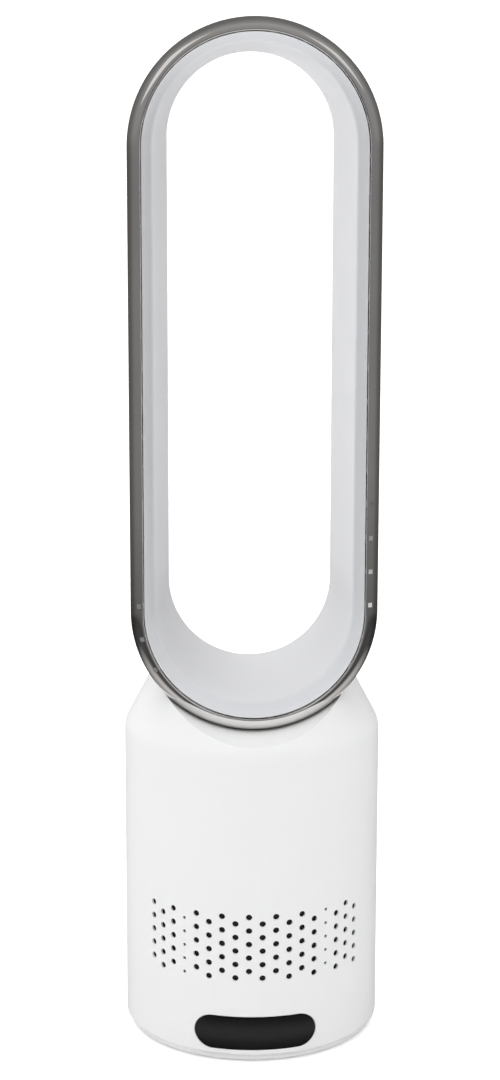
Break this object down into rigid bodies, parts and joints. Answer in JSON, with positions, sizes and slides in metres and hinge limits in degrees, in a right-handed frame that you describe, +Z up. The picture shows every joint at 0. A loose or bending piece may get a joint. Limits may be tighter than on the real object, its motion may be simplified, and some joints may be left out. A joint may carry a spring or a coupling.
{
  "type": "tower fan",
  "caption": "Bladeless tower fan: a tall stadium-shaped air loop with a mirror-bright rim, seated in a round perforated base that swings on a thin foot.",
  "frame": {"origin": "on the base's vertical axis, at the surface that the rubber feet stand on", "axes": "+Z up along the base's axis, -Y towards the front where the air leaves and the display is, +X to the right of someone facing the front"},
  "size_m": [0.23, 0.23, 0.911],
  "materials": {
    "base_white": "satin white moulded plastic with a very fine spark texture",
    "loop_white": "satin white moulded plastic",
    "throat_white": "satin off-white moulded plastic",
    "rim_mirror": "mirror-bright dark metallized plastic",
    "window_black": "polished black tinted plastic",
    "foot_plastic": "satin light moulded plastic",
    "foot_rubber": "matt black rubber",
    "inner_plastic": "natural moulded plastic",
    "inner_black": "black moulded plastic",
    "gear_plastic": "natural acetal",
    "impeller_plastic": "dark glass-filled plastic",
    "ballast_steel": "black-coated steel plate",
    "race_steel": "ground steel",
    "motor_steel": "zinc-plated steel",
    "stator_steel": "laminated steel with enamelled copper windings",
    "magnet_dark": "coated ferrite magnet",
    "screw_steel": "zinc-plated steel",
    "ball_chrome": "polished bearing steel",
    "nut_brass": "turned brass",
    "board_green": "glass-fibre circuit board with solder mask",
    "digit_white": "diffusing display module",
    "component_dark": "dark component bodies",
    "lead_black": "soft insulated lead",
    "filter_dark": "dark open-cell dust mesh"
  },
  "bodies": {
    "foot": {"foot_plate": "foot_plastic", "ballast_plate": "ballast_steel", "rubber_feet": "foot_rubber", "lower_bearing_race": "race_steel", "fixed_sun_gear": "gear_plastic", "spindle_retainer": "race_steel", "retainer_screws": "screw_steel"},
    "head": {"base_pan": "inner_plastic", "upper_bearing_race": "race_steel", "shell_screws": "screw_steel", "oscillation_motor": "motor_steel", "motor_ear_screws": "screw_steel", "base_shell": "base_white", "display_window": "window_black", "display_bezel": "inner_black", "display_board": "board_green", "display_digits": "digit_white", "ir_receiver": "inner_black", "power_inlet": "inner_black", "control_board": "board_green", "board_parts": "component_dark", "display_lead": "lead_black", "power_lead": "lead_black", "motor_lead": "lead_black", "electronics_tray": "inner_plastic", "dust_filter": "filter_dark", "filter_frame": "inner_black", "inlet_bellmouth": "inner_black", "motor_stator": "stator_steel", "motor_can": "motor_steel", "motor_bearings": "race_steel", "motor_mounts": "foot_rubber", "diffuser": "inner_black", "tail_cone": "inner_black", "fan_housing": "inner_black", "transition_duct": "inner_plastic", "shoulder_cap": "base_white", "neck_gasket": "foot_rubber", "loop_neck": "loop_white", "neck_screws": "screw_steel", "loop_outer_shell": "loop_white", "loop_inner_wall": "throat_white", "rim_bead": "rim_mirror", "slot_spacers": "throat_white", "rim_band": "inner_black", "seam_seal": "foot_rubber"},
    "ball_cage": {"bearing_cage": "gear_plastic", "bearing_balls": "ball_chrome"},
    "pinion": {"drive_pinion": "gear_plastic"},
    "fan_wheel": {"impeller": "impeller_plastic", "impeller_nut": "nut_brass", "motor_shaft": "race_steel", "rotor_magnet": "magnet_dark"}
  },
  "joints": [
    {"name": "oscillation", "type": "hinge", "parent": "foot", "child": "head", "pos_m": [0, 0, 0.012], "axis": [0, 0, 1], "range_deg": [-45, 45]},
    {"name": "cage_roll", "type": "hinge", "parent": "foot", "child": "ball_cage", "pos_m": [0, 0, 0.0076], "axis": [0, 0, 1], "range_deg": [-22.6, 22.6]},
    {"name": "pinion_turn", "type": "hinge", "parent": "head", "child": "pinion", "pos_m": [0.05625, 0, 0.009], "axis": [0, 0, 1], "range_deg": [-180.5, 180.5]},
    {"name": "wheel_spin", "type": "hinge", "parent": "head", "child": "fan_wheel", "pos_m": [0, 0, 0.2], "axis": [0, 0, 1], "continuous": true}
  ],
  "couplings": [
    {"joint": "cage_roll", "follows": "oscillation", "ratio": 0.5},
    {"joint": "pinion_turn", "follows": "oscillation", "ratio": 4}
  ]
}
